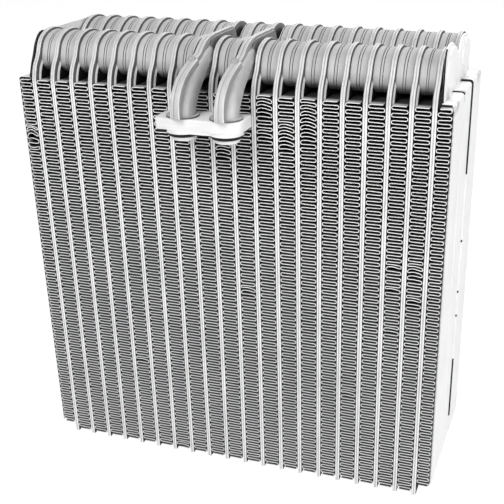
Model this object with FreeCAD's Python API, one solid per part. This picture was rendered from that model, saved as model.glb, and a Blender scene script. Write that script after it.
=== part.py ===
import FreeCAD, Part
import math
import os

# Evaporator core of a vehicle air conditioner: pressed plate pairs brazed into flat tubes,
# serpentine fins between them, two tanks of stacked cups along the top, two duct pipes that
# enter between the plates, and a connector block with two sealed spigots.
# Millimetres. X runs across the plates, Y from front to back, Z up.
# Shapes are drawn with Y = 0 on the front edges of the plates and Z = 0 on their lower ends.

# Plate pairs
pair_count = 20
pair_pitch = 11.4
core_depth = 93.0
rim_thickness = 1.2
wall_height = 2.0
wall_inset = 3.0
wall_gap = 0.2
core_height = 223.0

# Tank cups
tank_spread = 21.3
dome_radius = 18.1
dome_lift = 6.7
dome_sides = 4
dome_start_angle = 166.0
dome_end_angle = 22.0
neck_rise = 9.8
neck_shoulder = 2.44
valley_lift = 11.6
cup_lift = 13.8
cup_half_length = 15.2
cup_half_height = 9.4
cup_draft = 1.0
cup_sides = 8

# Serpentine fins
fin_thickness = 0.35
fin_bottom = 2.5
fin_legs = 18
end_fin_height = 6.5

# Side plates
side_sheet = 1.0
side_inset = 4.0
side_bottom = 6.7
side_shelf_gap = 0.6
side_head_height = 26.4
side_head_inset = 2.0
side_dip_depth = 11.5
side_flat_height = 22.6
side_groove_run_out = 2.0
side_groove_width = 1.6
side_groove_depth = 0.5
side_groove_half_gap = 13.5
side_boss_height = 1.0

# Rear half of the right head, as shares of the half depth behind the dip and of the height.
rear_head = [
    (0.086, 0.784),
    (0.172, 0.869),
    (0.29, 0.907),
    (0.409, 0.896),
    (0.527, 0.853),
    (0.63, 0.768),
    (0.71, 0.606),
    (0.774, 0.363),
    (0.837, 0.108),
    (0.854, 0.0),
]

# Front edge of the left head, as shares of the tank's setback and of its own height.
flat_head = [
    (0.159, 0.0),
    (0.298, 0.31),
    (0.456, 0.70),
    (0.575, 0.89),
    (0.734, 1.0),
]

# Duct pipes
duct_gap_index = 1
pipe_radius = 6.35
pipe_wall = 1.2
pipe_sides = 6
pipe_setout = 21.3
bead_radius = 8.2
bead_height = 1.0
duct_sheet = 1.2
duct_flange = 3.8
duct_back_flange = 2.6
duct_side_gap = 0.15
flange_gap = 0.3
duct_floor_lift = 7.2
duct_entry_lift = 4.5
duct_height = 16.8
duct_crest_rise = 1.9
duct_entry_drop = 7.0
duct_entry_reach = 2.0
duct_nose_rise = 4.6
duct_tail_inset = 5.0
duct_tank_inset = 3.0
duct_round = 8.0

# How far each section of a pipe has gone from the block to the core, as shares of the way:
# front line back and up, rear line back and up, and narrowing between the plates.
pipe_course = [
    (0.04, 0.185, 0.05, 0.186, 0.0),
    (0.142, 0.40, 0.21, 0.40, 0.1),
    (0.337, 0.626, 0.451, 0.618, 0.35),
    (0.649, 0.868, 0.746, 0.843, 0.75),
    (1.0, 1.0, 1.0, 1.0, 1.0),
]

# Connector block
block_drop = 7.0
block_thickness = 6.6
block_left_margin = 12.6
block_right_margin = 9.0
block_front_margin = 6.5
block_back_margin = 11.7
block_small_corner = 2.0
block_left_corner = 7.0
block_right_corner = 8.5
boss_radius = 8.6
boss_height = 1.4
spigot_length = 3.1
spigot_radius = 6.35
spigot_bore = 4.75

# Seals
seal_section = 1.0
seal_groove_depth = 1.3
seal_lip = 1.1
seal_clearance = 0.02
seal_sides = 6
seal_steps = 20

tank_setback = core_depth / 2.0 - tank_spread
dome_middle = core_height + dome_lift
dome_start = tank_setback + dome_radius * math.cos(math.radians(dome_start_angle))
neck_lean = dome_start - neck_shoulder
neck_top = core_height + neck_rise
cup_middle = core_height + cup_lift
pair_half_span = (pair_count - 1) * pair_pitch / 2.0
duct_x = duct_gap_index * pair_pitch
front_reach = pipe_setout + pipe_radius + duct_flange
block_top = core_height - block_drop
block_left = duct_x + block_left_margin
block_right = duct_x + block_right_margin
block_front = pipe_setout + block_front_margin
block_back = pipe_setout - block_back_margin
block_bottom = block_top - block_thickness
boss_bottom = block_bottom - boss_height
spigot_end = boss_bottom - spigot_length
side_inner = pair_half_span + wall_height + end_fin_height
side_upper = pair_half_span + wall_height
side_shelf = core_height + side_shelf_gap
side_top = side_shelf + side_head_height
side_flat_top = side_shelf + side_flat_height
duct_floor = core_height + duct_floor_lift
duct_entry_floor = core_height + duct_entry_lift
duct_top = duct_floor + duct_height
duct_crest = duct_top + duct_crest_rise
duct_entry_height = duct_top - duct_entry_drop

# The part's origin is the middle of its footprint, at the lower ends of the plates.
to_origin = FreeCAD.Vector(0, (front_reach - core_depth) / 2.0, 0)


def save(name, solids):
    shape = solids[0] if len(solids) == 1 else Part.makeCompound(solids)
    shape = shape.translated(to_origin)
    shape.exportStep("parts/" + name + ".step")


def plate_outline(points, x):
    corners = [FreeCAD.Vector(x, y, z) for y, z in points]
    return Part.Face(Part.makePolygon(corners + [corners[0]]))


def slab(points, x, thickness):
    return plate_outline(points, x).extrude(FreeCAD.Vector(thickness, 0, 0))


def mirrored(points):
    return [(core_depth - y, z) for y, z in reversed(points)]


def rim_points():
    # Straight front edge, a neck that leans back, then the dome round one tank.
    front = [(0.0, 0.0), (0.0, core_height)]
    front.append((neck_lean * 0.33, core_height + neck_rise * 0.53))
    front.append((neck_lean, neck_top))
    first = math.radians(dome_start_angle)
    last = math.radians(dome_end_angle)
    for step in range(dome_sides + 1):
        angle = first + (last - first) * step / dome_sides
        y = tank_setback + dome_radius * math.cos(angle)
        front.append((y, dome_middle + dome_radius * math.sin(angle)))
    return front + [(core_depth / 2.0, core_height + valley_lift)] + mirrored(front)


def faceted(rings, closed):
    # A solid with flat sides between rings of corners, capped at both ends or closed in a loop.
    count = len(rings[0])
    faces = []
    last = len(rings) if closed else len(rings) - 1
    for number in range(last):
        here = rings[number]
        there = rings[(number + 1) % len(rings)]
        for corner in range(count):
            after = (corner + 1) % count
            loop = [here[corner], here[after], there[after], there[corner], here[corner]]
            faces.append(Part.Face(Part.makePolygon(loop)))
    if not closed:
        for ring in (rings[0], rings[-1]):
            faces.append(Part.Face(Part.makePolygon(ring + [ring[0]])))
    solid = Part.makeSolid(Part.makeShell(faces))
    if solid.Volume < 0:
        solid.reverse()
    return solid


def cup(middle_y, base_x, end_x):
    # One drawn cup of the tank: an oval wall with draft.
    taper = 1.0 - cup_draft / cup_half_height
    rings = []
    for x, share in ((base_x, 1.0), (end_x, taper)):
        corners = []
        for step in range(cup_sides):
            angle = 2.0 * math.pi * (step + 0.5) / cup_sides
            y = middle_y + cup_half_length * share * math.cos(angle)
            z = cup_middle + cup_half_height * share * math.sin(angle)
            corners.append(FreeCAD.Vector(x, y, z))
        rings.append(corners)
    return faceted(rings, False)


def pressed_plate(middle_x, side, with_cups):
    # side is -1 for the left plate of a pair and +1 for the right one.
    plate = slab(rim_points(), middle_x, side * rim_thickness)
    low = wall_inset
    high = cup_middle - cup_half_height - wall_gap
    lean = neck_lean * (high - core_height) / neck_rise
    wall = [(low, low), (low, core_height), (low + lean * 0.75, high)]
    wall += mirrored(wall)
    inside = middle_x + side * rim_thickness
    step = side * (wall_height - rim_thickness)
    plate = plate.fuse(slab(wall, inside, step))
    if with_cups:
        end = middle_x + side * pair_pitch / 2.0
        for middle_y in (tank_setback, core_depth - tank_setback):
            plate = plate.fuse(cup(middle_y, inside, end))
    return plate.removeSplitter()


def pair_x(index):
    return -pair_half_span + index * pair_pitch


def gap_holds_duct(index):
    # Gap number index lies to the right of pair number index, counted from 0.
    middle = pair_x(index) + pair_pitch / 2.0
    return abs(abs(middle) - duct_x) < pair_pitch / 4.0


def tube_plates(index):
    left_open = index > 0 and not gap_holds_duct(index - 1)
    right_open = index < pair_count - 1 and not gap_holds_duct(index)
    left = pressed_plate(pair_x(index), -1, left_open)
    right = pressed_plate(pair_x(index), 1, right_open)
    return [left, right]


def fin(left_x, height):
    # A sheet folded to and fro between two walls, as one zigzag band with its thickness.
    rise = (core_height - fin_bottom) / fin_legs
    left_side = []
    right_side = []
    for turn in range(fin_legs + 1):
        x = left_x if turn % 2 == 0 else left_x + height - fin_thickness
        z = fin_bottom + turn * rise
        left_side.append(FreeCAD.Vector(x, 0, z))
        right_side.append(FreeCAD.Vector(x + fin_thickness, 0, z))
    loop = left_side + right_side[::-1] + [left_side[0]]
    return Part.Face(Part.makePolygon(loop)).extrude(FreeCAD.Vector(0, core_depth, 0))


def flat_head_points():
    # Upper wall of the left side plate: one straight top from tank to tank.
    start = side_shelf + side_sheet / 2.0
    height = side_flat_top - start
    front = [(tank_setback * back, start + height * rise) for back, rise in flat_head]
    return front + mirrored(front)


def dipped_head_points():
    # Upper wall of the right side plate: a rounded head over each tank and a dip between them.
    start = side_shelf + side_sheet / 2.0
    drop = side_dip_depth
    middle = tank_setback
    front = [(side_head_inset, start), (side_head_inset, side_top - drop * 0.61)]
    front += [(side_head_inset + drop * 0.09, side_top - drop * 0.32)]
    front += [(side_head_inset + drop * 0.29, side_top - drop * 0.14)]
    front += [(middle - dome_radius * 0.84, side_top - drop * 0.035)]
    front += [(middle - dome_radius * 0.36, side_top), (middle + drop * 0.09, side_top - drop * 0.035)]
    front += [(middle + dome_radius * 0.376, side_top - drop * 0.226)]
    front += [(middle + dome_radius * 0.762, side_top - drop * 0.54)]
    half = core_depth / 2.0
    height = side_top - start
    rear = [(half + half * back, start + height * rise) for back, rise in rear_head]
    return front + [(half, side_top - drop)] + rear


def side_plate(head):
    # One folded sheet: lower wall, shelf over the last fin, and the upper wall at the tanks.
    outer = side_inner + side_sheet
    upper_outer = side_upper + side_sheet
    shelf_top = side_shelf + side_sheet
    section = [(side_inner, side_bottom), (side_inner, side_shelf), (side_upper, side_shelf)]
    section += [(side_upper, shelf_top), (outer, shelf_top), (outer, side_bottom)]
    corners = [FreeCAD.Vector(x, side_inset, z) for x, z in section]
    face = Part.Face(Part.makePolygon(corners + [corners[0]]))
    depth = core_depth - 2.0 * side_inset
    plate = face.extrude(FreeCAD.Vector(0, depth, 0))
    folds = []
    for edge in plate.Edges:
        middle = edge.CenterOfMass
        if abs(middle.x - outer) < 0.01 and abs(middle.z - shelf_top) < 0.01:
            folds.append(edge)
    plate = plate.makeFillet(side_sheet * 1.5, folds)
    plate = plate.fuse(slab(head, side_upper, side_sheet))
    for sign in (-1.0, 1.0):
        y = core_depth / 2.0 + sign * side_groove_half_gap - side_groove_width / 2.0
        high = shelf_top - side_groove_depth
        run_out = side_groove_run_out
        groove = Part.makeBox(run_out, side_groove_width, high - side_bottom + run_out)
        groove.translate(FreeCAD.Vector(outer - side_groove_depth, y, side_bottom - run_out))
        over = Part.makeBox(outer - upper_outer, side_groove_width, run_out)
        over.translate(FreeCAD.Vector(upper_outer, y, high))
        plate = plate.cut(groove).cut(over)
    keep = slab(head, upper_outer, side_boss_height)
    for middle_y in (tank_setback, core_depth - tank_setback):
        boss = cup(middle_y, upper_outer, upper_outer + side_boss_height)
        plate = plate.fuse(boss.common(keep))
    return plate.removeSplitter()


def half_duct_gap():
    # Half the free width between the rims of two neighbouring pairs.
    return pair_pitch / 2.0 - rim_thickness


def station(front, back, width):
    # One section of a pipe, from the point on its front line and the one on its rear line.
    depth = math.hypot(front[0] - back[0], front[1] - back[1]) / 2.0
    angle = math.atan2(front[1] - back[1], back[0] - front[0])
    return (front[0] + back[0]) / 2.0, (front[1] + back[1]) / 2.0, angle, width, depth


def pipe_stations():
    # Straight up out of the block, then over and back into the space between two pairs.
    start_z = block_top + bead_height + flange_gap
    front_y = -pipe_setout - pipe_radius
    back_y = -pipe_setout + pipe_radius
    narrow = half_duct_gap() - duct_side_gap
    stations = []
    for z in (block_top, start_z):
        stations.append(station((front_y, z), (back_y, z), pipe_radius))
    for front_run, front_rise, back_run, back_rise, share in pipe_course:
        y = front_y + (-duct_entry_reach - front_y) * front_run
        z = start_z + (duct_entry_height - start_z) * front_rise
        rear_y = back_y - back_y * back_run
        rear_z = start_z + (duct_entry_floor - start_z) * back_rise
        width = pipe_radius + (narrow - pipe_radius) * share
        stations.append(station((y, z), (rear_y, rear_z), width))
    reach = tank_setback / 2.0
    nose = (reach, duct_entry_height + duct_nose_rise)
    stations.append(station(nose, (reach, duct_floor + pipe_wall), narrow))
    return stations


def half_round(section, middle_x, side, shrink):
    y, z, angle, width, depth = section
    across = FreeCAD.Vector(side, 0, 0)
    along = FreeCAD.Vector(0, -math.cos(angle), math.sin(angle))
    middle = FreeCAD.Vector(middle_x, y, z)
    a = width - shrink
    b = depth - shrink
    corners = []
    for step in range(pipe_sides + 1):
        turn = math.pi * step / pipe_sides
        corners.append(middle + across * (a * math.sin(turn)) + along * (b * math.cos(turn)))
    return Part.makePolygon(corners + [corners[0]])


def pipe_half(middle_x, side, shrink):
    rings = [half_round(s, middle_x, side, shrink) for s in pipe_stations()]
    return Part.makeLoft(rings, True, True)


def duct_flange_points():
    # The two brazed edges of the duct: beside the pipe, and round the tank space.
    front = []
    back = []
    for y, z, angle, width, depth in pipe_stations()[1:-1]:
        out = depth + duct_flange
        front.append((y - out * math.cos(angle), z + out * math.sin(angle)))
        out = depth + duct_back_flange
        back.append((y + out * math.cos(angle), z - out * math.sin(angle)))
    back = [point for point in back if point[0] < 0.0]
    tail = core_depth - duct_tail_inset
    rise = duct_round
    low = duct_floor - rise * 0.25
    front = front[:-1] + [(0.0, duct_entry_height + duct_flange * 0.6)]
    loop = front + [(rise * 0.44, duct_crest - rise * 0.49), (rise * 1.56, duct_crest - rise * 0.04)]
    loop += [(core_depth / 2.0, duct_crest), (core_depth - rise * 1.56, duct_crest - rise * 0.04)]
    loop += [(tail - rise * 0.25, duct_crest - rise * 1.12), (tail, duct_floor + rise * 0.5)]
    loop += [(tail, low), (rise * 0.375, low)]
    return loop + back[::-1]


def duct_tank_points(inset):
    # Side view of the tank space inside a duct, drawn in by inset on every side.
    rise = duct_round
    tail = core_depth - duct_tail_inset - duct_tank_inset - inset
    floor = duct_floor + inset
    high = duct_top - inset
    loop = [(rise * 0.125 + inset, floor), (inset, floor + rise)]
    loop += [(rise + inset, high - rise * 0.5), (rise * 2.25, high)]
    loop += [(core_depth - rise * 2.25, high), (tail - rise * 0.375, high - rise)]
    loop += [(tail, floor + rise * 0.375), (tail - rise * 0.25, floor)]
    return loop


def bead(middle_x, side):
    # The swaged end of a pipe, resting on the block.
    corners = []
    for step in range(pipe_sides + 1):
        turn = math.pi * step / pipe_sides
        x = middle_x + side * bead_radius * math.sin(turn)
        y = -pipe_setout + bead_radius * math.cos(turn)
        corners.append(FreeCAD.Vector(x, y, block_top))
    face = Part.Face(Part.makePolygon(corners + [corners[0]]))
    return face.extrude(FreeCAD.Vector(0, 0, bead_height))


def duct_half(middle_x, side):
    half_gap = half_duct_gap()
    shell = slab(duct_flange_points(), middle_x, side * duct_sheet)
    shell = shell.fuse(slab(duct_tank_points(0.0), middle_x, side * half_gap))
    shell = shell.fuse(pipe_half(middle_x, side, 0.0)).fuse(bead(middle_x, side))
    hollow = pipe_half(middle_x, side, pipe_wall)
    hollow = hollow.fuse(slab(duct_tank_points(pipe_wall), middle_x, side * (half_gap - pipe_wall)))
    return shell.cut(hollow).removeSplitter()


def block_outline():
    # Plan of the block, counted from the back left, with one radius at each corner.
    corners = [(-block_left, -block_back, block_left_corner)]
    corners.append((-block_left, -block_front, block_small_corner))
    corners.append((block_right, -block_front, block_right_corner))
    corners.append((block_right, -block_back, block_small_corner))
    edges = []
    count = len(corners)
    ends = []
    for number in range(count):
        x, y, radius = corners[number]
        before = corners[number - 1]
        after = corners[(number + 1) % count]
        here = FreeCAD.Vector(x, y, block_bottom)
        towards = FreeCAD.Vector(before[0] - x, before[1] - y, 0).normalize()
        away = FreeCAD.Vector(after[0] - x, after[1] - y, 0).normalize()
        centre = here + (towards + away) * radius
        middle = centre + (here - centre).normalize() * radius
        ends.append((here + towards * radius, middle, here + away * radius))
    for number in range(count):
        first, middle, last = ends[number]
        edges.append(Part.Arc(first, middle, last).toShape())
        edges.append(Part.LineSegment(last, ends[(number + 1) % count][0]).toShape())
    return Part.Face(Part.Wire(edges))


def rod(x, low, high, radius):
    start = FreeCAD.Vector(x, -pipe_setout, low)
    return Part.makeCylinder(radius, high - low, start)


def connector_block():
    block = block_outline().extrude(FreeCAD.Vector(0, 0, block_thickness))
    groove_low = spigot_end + seal_lip
    for x in (-duct_x, duct_x):
        block = block.fuse(rod(x, boss_bottom, block_bottom + boss_height, boss_radius))
        block = block.fuse(rod(x, spigot_end, boss_bottom, spigot_radius))
        ring = rod(x, groove_low, boss_bottom, boss_radius)
        ring = ring.cut(rod(x, groove_low, boss_bottom, spigot_radius - seal_groove_depth))
        block = block.cut(ring)
        block = block.cut(rod(x, spigot_end, block_top, spigot_bore))
    return block.removeSplitter()


def seal(x):
    # A rubber ring that rests in the groove of its spigot.
    middle = spigot_radius - seal_groove_depth + seal_clearance + seal_section
    level = (spigot_end + seal_lip + boss_bottom) / 2.0
    spread = 1.0 / math.cos(math.pi / seal_steps)
    rings = []
    for step in range(seal_steps):
        turn = 2.0 * math.pi * step / seal_steps
        ring = []
        for side in range(seal_sides):
            angle = 2.0 * math.pi * side / seal_sides
            out = (middle + seal_section * math.cos(angle)) * spread
            z = level + seal_section * math.sin(angle)
            place = FreeCAD.Vector(x + out * math.cos(turn), out * math.sin(turn) - pipe_setout, z)
            ring.append(place)
        rings.append(ring)
    return faceted(rings, True)


def build():
    os.makedirs("parts", exist_ok=True)
    for index in range(pair_count):
        save("tube_plates_%02d" % (index + 1), tube_plates(index))
    fin_height = pair_pitch - 2.0 * wall_height
    save("fin_01", [fin(-side_inner, end_fin_height)])
    for index in range(pair_count - 1):
        save("fin_%02d" % (index + 2), [fin(pair_x(index) + wall_height, fin_height)])
    save("fin_%02d" % (pair_count + 1), [fin(side_upper, end_fin_height)])
    middle = FreeCAD.Vector(0, 0, 0)
    left = side_plate(flat_head_points()).mirror(middle, FreeCAD.Vector(1, 0, 0))
    save("side_plate_left", [left])
    save("side_plate_right", [side_plate(dipped_head_points())])
    for name, x in (("inlet_duct", -duct_x), ("outlet_duct", duct_x)):
        save(name + "_left_half", [duct_half(x, -1)])
        save(name + "_right_half", [duct_half(x, 1)])
    save("connector_block", [connector_block()])
    save("seal_inlet", [seal(-duct_x)])
    save("seal_outlet", [seal(duct_x)])


build()
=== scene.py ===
import math
import random

import bmesh
import bpy
from mathutils import Matrix, Vector


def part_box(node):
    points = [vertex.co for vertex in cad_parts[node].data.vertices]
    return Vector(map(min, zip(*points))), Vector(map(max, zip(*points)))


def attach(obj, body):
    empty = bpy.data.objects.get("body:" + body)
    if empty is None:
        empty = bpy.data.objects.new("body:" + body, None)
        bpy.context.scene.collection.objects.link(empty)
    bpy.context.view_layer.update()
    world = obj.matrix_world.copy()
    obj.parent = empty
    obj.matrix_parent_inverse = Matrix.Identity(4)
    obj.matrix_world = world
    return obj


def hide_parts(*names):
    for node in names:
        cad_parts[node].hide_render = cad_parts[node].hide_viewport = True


print("core: loading the frame")
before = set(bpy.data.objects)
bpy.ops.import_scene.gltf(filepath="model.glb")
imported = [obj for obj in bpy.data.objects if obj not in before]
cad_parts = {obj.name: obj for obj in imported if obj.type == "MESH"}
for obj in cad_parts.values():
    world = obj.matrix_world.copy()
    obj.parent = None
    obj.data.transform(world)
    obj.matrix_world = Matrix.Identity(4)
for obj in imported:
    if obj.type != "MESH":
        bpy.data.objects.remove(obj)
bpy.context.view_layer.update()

# Sizes that several pieces share, in millimetres

mm = 0.001
pairCount = 20
pitch = 11.4
depth = 93.0
coreTop = 223.0
blockTop = 216.0
pipeAxis = -21.3
ports = (("inlet", -pitch), ("outlet", pitch))
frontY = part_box("tube_plates_01")[0].y    # the plates' front edges, drawn as y = 0
pairOffsets = (0.45, 0.25, 0.12, 0.0, -0.1, -0.15, -0.15, -0.1, -0.1, 0.0,
               0.05, 0.1, 0.25, 0.35, 0.45, 0.5, 0.5, 0.45, 0.35, -0.05)


def spot(x, y, z):
    return Vector((x * mm, y * mm + frontY, z * mm))


def pairX(number):
    # The pairs stand a little unevenly: each one's own offset comes on top of the pitch.
    return (number - (pairCount + 1) / 2) * pitch + pairOffsets[number - 1]


# Camera

cameraSet = {
    "place": spot(178.3, -419.6, 328.8),
    "right": (0.95165, 0.30715, -0.00482),
    "up": (-0.12204, 0.39242, 0.91166),
    "back": (0.28191, -0.86699, 0.41093),
    "lens": 65.15,
    "sensor": 36.0,
    "shift": (-0.0972, 0.0409),
    "nearest": 0.01,
    "furthest": 20.0,
}


def addCamera(values):
    lensData = bpy.data.cameras.new("photoCamera")
    lensData.lens = values["lens"]
    lensData.sensor_width = values["sensor"]
    lensData.shift_x, lensData.shift_y = values["shift"]
    lensData.clip_start = values["nearest"]
    lensData.clip_end = values["furthest"]
    camera = bpy.data.objects.new("photoCamera", lensData)
    bpy.context.scene.collection.objects.link(camera)
    columns = [Vector(values[key]) for key in ("right", "up", "back")]
    turn = Matrix(columns).transposed().to_4x4()
    camera.matrix_world = Matrix.Translation(values["place"]) @ turn
    bpy.context.scene.camera = camera


addCamera(cameraSet)
print("core: camera set")


# Materials

class Wire:
    # A socket that takes part in sums; each sum adds its Math node.
    def __init__(self, finish, socket):
        self.finish = finish
        self.socket = socket

    def sum(self, kind, first, second):
        return self.finish.node("ShaderNodeMath", {"operation": kind}, {0: first, 1: second})

    def __add__(self, other):
        return self.sum("ADD", self, other)

    def __radd__(self, other):
        return self.sum("ADD", other, self)

    def __sub__(self, other):
        return self.sum("SUBTRACT", self, other)

    def __rsub__(self, other):
        return self.sum("SUBTRACT", other, self)

    def __mul__(self, other):
        return self.sum("MULTIPLY", self, other)

    def __rmul__(self, other):
        return self.sum("MULTIPLY", other, self)


def grey(tone):
    return (tone, tone, tone, 1.0)


def setStops(ramp, stops):
    while len(ramp.elements) > 1:
        ramp.elements.remove(ramp.elements[-1])
    start = ramp.elements[0]
    start.position, start.color = stops[0][0], grey(stops[0][1])
    for place, tone in stops[1:]:
        ramp.elements.new(place).color = grey(tone)


class Finish:
    # A material, or the world's light, and the nodes it is made of.
    def __init__(self, name, world=False):
        self.owner = bpy.data.worlds.new(name) if world else bpy.data.materials.new(name)
        self.owner.use_nodes = True
        self.tree = self.owner.node_tree
        self.tree.nodes.clear()
        kind = "ShaderNodeOutputWorld" if world else "ShaderNodeOutputMaterial"
        self.output = self.tree.nodes.new(kind)

    def node(self, kind, settings=None, values=None, out=0):
        made = self.tree.nodes.new(kind)
        for key, value in (settings or {}).items():
            if key == "stops":
                setStops(made.color_ramp, value)
            else:
                setattr(made, key, value)
        for key, value in (values or {}).items():
            if isinstance(value, Wire):
                self.tree.links.new(value.socket, made.inputs[key])
            else:
                made.inputs[key].default_value = value
        return Wire(self, made.outputs[out])

    def close(self, shader):
        self.tree.links.new(shader.socket, self.output.inputs["Surface"])
        return self.owner

    def place(self):
        return self.node("ShaderNodeTexCoord", out="Object")

    def along(self, axis):
        return self.node("ShaderNodeSeparateXYZ", values={0: self.place()}, out=axis)

    def noise(self, scale, detail, stretch=(1, 1, 1)):
        coords = self.node("ShaderNodeMapping", values={"Vector": self.place(), "Scale": stretch})
        values = {"Vector": coords, "Scale": scale, "Detail": detail}
        return self.node("ShaderNodeTexNoise", values=values)

    def ramp(self, source, stops):
        return self.node("ShaderNodeValToRGB", {"stops": stops}, {"Fac": source})

    def bump(self, height, strength, distance):
        values = {"Height": height, "Strength": strength, "Distance": distance}
        return self.node("ShaderNodeBump", values=values)

    def mix(self, kind, first, second):
        # The Mix node's colour sockets are its inputs 6 and 7 and its output 2.
        settings = {"data_type": "RGBA", "blend_type": kind}
        return self.node("ShaderNodeMix", settings, {0: 1.0, 6: first, 7: second}, out=2)


# pale and dull are the ends of the tone, rough, metal and gloss go to the shader, and grain
# stretches the streaks. high, low and smudge are heights where the tone changes, each with its
# reach upwards; low is painted shade, darker towards the bottom. reach is how far the fins'
# painted light goes into the passages before their painted shade.
metalSet = {
    "plate": {"pale": 0.95, "dull": 0.82, "rough": 0.52, "metal": 0.1, "grain": (60, 60, 4),
              "high": (219.5, 6.0)},
    "joint": {"pale": 0.62, "dull": 0.42, "rough": 0.6, "metal": 0.1, "grain": (60, 60, 4)},
    # painted shade on the duct strips' sides, and the round button's grey
    "seam": {"pale": 0.40, "dull": 0.26, "rough": 0.6, "metal": 0.1, "grain": (60, 60, 4)},
    # painted shade on the rims' sides, at the cups' feet and on the beads' sides
    "recess": {"pale": 0.17, "dull": 0.08, "rough": 0.6, "metal": 0.0, "grain": (60, 60, 4),
               "gloss": 0.2},
    # the plates' outer face between the rims: painted shade, darker still below the tanks
    "panel": {"pale": 0.50, "dull": 0.34, "rough": 0.6, "metal": 0.0, "grain": (60, 60, 4),
              "low": (221.5, 4.0), "gloss": 0.2},
    # near-black painted shade in gaps and on shadowed edges and grooves, also on sheets put where
    # only shadow is
    "dark": {"pale": 0.03, "dull": 0.012, "rough": 0.7, "metal": 0.0, "grain": (60, 60, 4),
             "gloss": 0.1},
    # the tanks' cups: low paints shade on their bottoms
    "tank": {"pale": 0.585, "dull": 0.45, "rough": 0.68, "metal": 0.05, "grain": (70, 4, 4),
             "low": (224.8, 11.0), "gloss": 0.3},
    "fin": {"pale": 0.96, "dull": 0.82, "rough": 0.5, "metal": 0.15, "grain": (40, 300, 40),
            "reach": 3.2},
    "side": {"pale": 0.95, "dull": 0.87, "rough": 0.50, "metal": 0.15, "grain": (40, 40, 3),
             "smudge": (218.0, 12.0)},
    "duct": {"pale": 0.53, "dull": 0.40, "rough": 0.5, "metal": 0.2, "grain": (50, 12, 12)},
    "band": {"pale": 0.60, "dull": 0.46, "rough": 0.55, "metal": 0.1, "grain": (90, 12, 12)},
    "shaded": {"pale": 0.22, "dull": 0.13, "rough": 0.6, "metal": 0.1, "grain": (50, 12, 12)},
    "block": {"pale": 0.87, "dull": 0.80, "rough": 0.5, "metal": 0.1, "grain": (8, 60, 60)},
}
usualGloss = 0.5
toneStops = {
    # inward, litTopFold and topInward are the fins' painted light and shade; low is painted shade
    "inward": [(0.0, 1.0), (0.05, 0.72), (0.17, 0.15), (0.4, 0.03), (1.0, 0.01)],
    "litTopFold": [(0.0, 0.0), (1.0, 1.0)],
    "topInward": [(0.0, 0.8), (0.45, 0.62), (0.75, 0.12), (1.0, 0.05)],
    "low": [(0.0, 0.07), (0.35, 0.3), (0.65, 0.72), (1.0, 1.0)],
    "high": [(0.0, 1.0), (1.0, 0.7)],
    "smudge": [(0.0, 0.0), (0.3, 1.0), (0.6, 1.0), (1.0, 0.0)],
}
# Noises are a scale and a detail, and the shares say how much of each noise there is.
wearAndFinLightSet = {
    "blotch": (38.0, 5.0),
    "grain": (14.0, 6.0),
    "fine": (900.0, 3.0),
    "toneShares": (0.55, 0.45),
    "toneEnds": (0.32, 0.62),
    "roughSpread": 0.22,
    "bumpShares": (0.5, 0.5),
    "bump": (0.25, 0.00012),
    "smudge": (120.0, 3.0),
    "smudgeEnds": (0.48, 0.62),
    "smudgeShare": 0.4,
    # painted light on the fins' top fold: its height and reach, and its share further in
    "litTopFold": (221.4, 1.0),
    "litTopShare": 0.45,
}
# black rubber for the seals, used also as painted shade under the block and its bosses
rubberAndShadeSet = {
    "speck": (1200.0, 3.0),
    "tones": [(0.3, 0.012), (0.7, 0.03)],
    "rough": 0.45,
    "roughSpread": 0.2,
    "gloss": 0.2,
    "bump": (0.2, 0.00008),
}


def heightShade(finish, low, reach, stops):
    return finish.ramp((finish.along("Z") - low * mm) * (1 / (reach * mm)), stops)


def passageShade(finish, reach):
    # Painted light and shade on the fins: bright at the core's two faces, in painted shade inside
    # the air passages, with painted light on the top fold some way in.
    half = depth * mm / 2
    fromMiddle = finish.node("ShaderNodeMath", {"operation": "ABSOLUTE"},
                             {0: finish.along("Y") - (frontY + half)})
    inward = (half - fromMiddle) * (1 / (reach * mm))
    top = heightShade(finish, *wearAndFinLightSet["litTopFold"], toneStops["litTopFold"])
    topInward = finish.ramp(inward * wearAndFinLightSet["litTopShare"], toneStops["topInward"])
    shown = finish.mix("MULTIPLY", top, topInward)
    return finish.mix("LIGHTEN", finish.ramp(inward, toneStops["inward"]), shown)


def smudged(finish, low, reach):
    # Grey smudges round the fold between the side wall and its head.
    belt = heightShade(finish, low, reach, toneStops["smudge"])
    start, end = wearAndFinLightSet["smudgeEnds"]
    spots = finish.ramp(finish.noise(*wearAndFinLightSet["smudge"]), [(start, 0.0), (end, 1.0)])
    return 1 - belt * spots * wearAndFinLightSet["smudgeShare"]


def bareMetal(name, values):
    finish = Finish(name)
    blotch = finish.noise(*wearAndFinLightSet["blotch"])
    grain = finish.noise(*wearAndFinLightSet["grain"], values["grain"])
    fine = finish.noise(*wearAndFinLightSet["fine"])
    blotchShare, grainShare = wearAndFinLightSet["toneShares"]
    mixed = blotch * blotchShare + grain * grainShare
    start, end = wearAndFinLightSet["toneEnds"]
    tone = finish.ramp(mixed, [(start, values["dull"]), (end, values["pale"])])
    if "reach" in values:
        tone = finish.mix("MULTIPLY", tone, passageShade(finish, values["reach"]))
    for key in ("low", "high"):
        if key in values:
            shadow = heightShade(finish, *values[key], toneStops[key])
            tone = finish.mix("MULTIPLY", tone, shadow)
    if "smudge" in values:
        tone = finish.mix("MULTIPLY", tone, smudged(finish, *values["smudge"]))
    spread = wearAndFinLightSet["roughSpread"]
    rough = mixed * spread + (values["rough"] - spread / 2)
    fineShare, grainShare = wearAndFinLightSet["bumpShares"]
    normal = finish.bump(fine * fineShare + grain * grainShare, *wearAndFinLightSet["bump"])
    body = finish.node("ShaderNodeBsdfPrincipled", values={
        "Base Color": tone, "Roughness": rough, "Normal": normal, "Metallic": values["metal"],
        "Specular IOR Level": values.get("gloss", usualGloss)})
    return finish.close(body)


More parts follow.
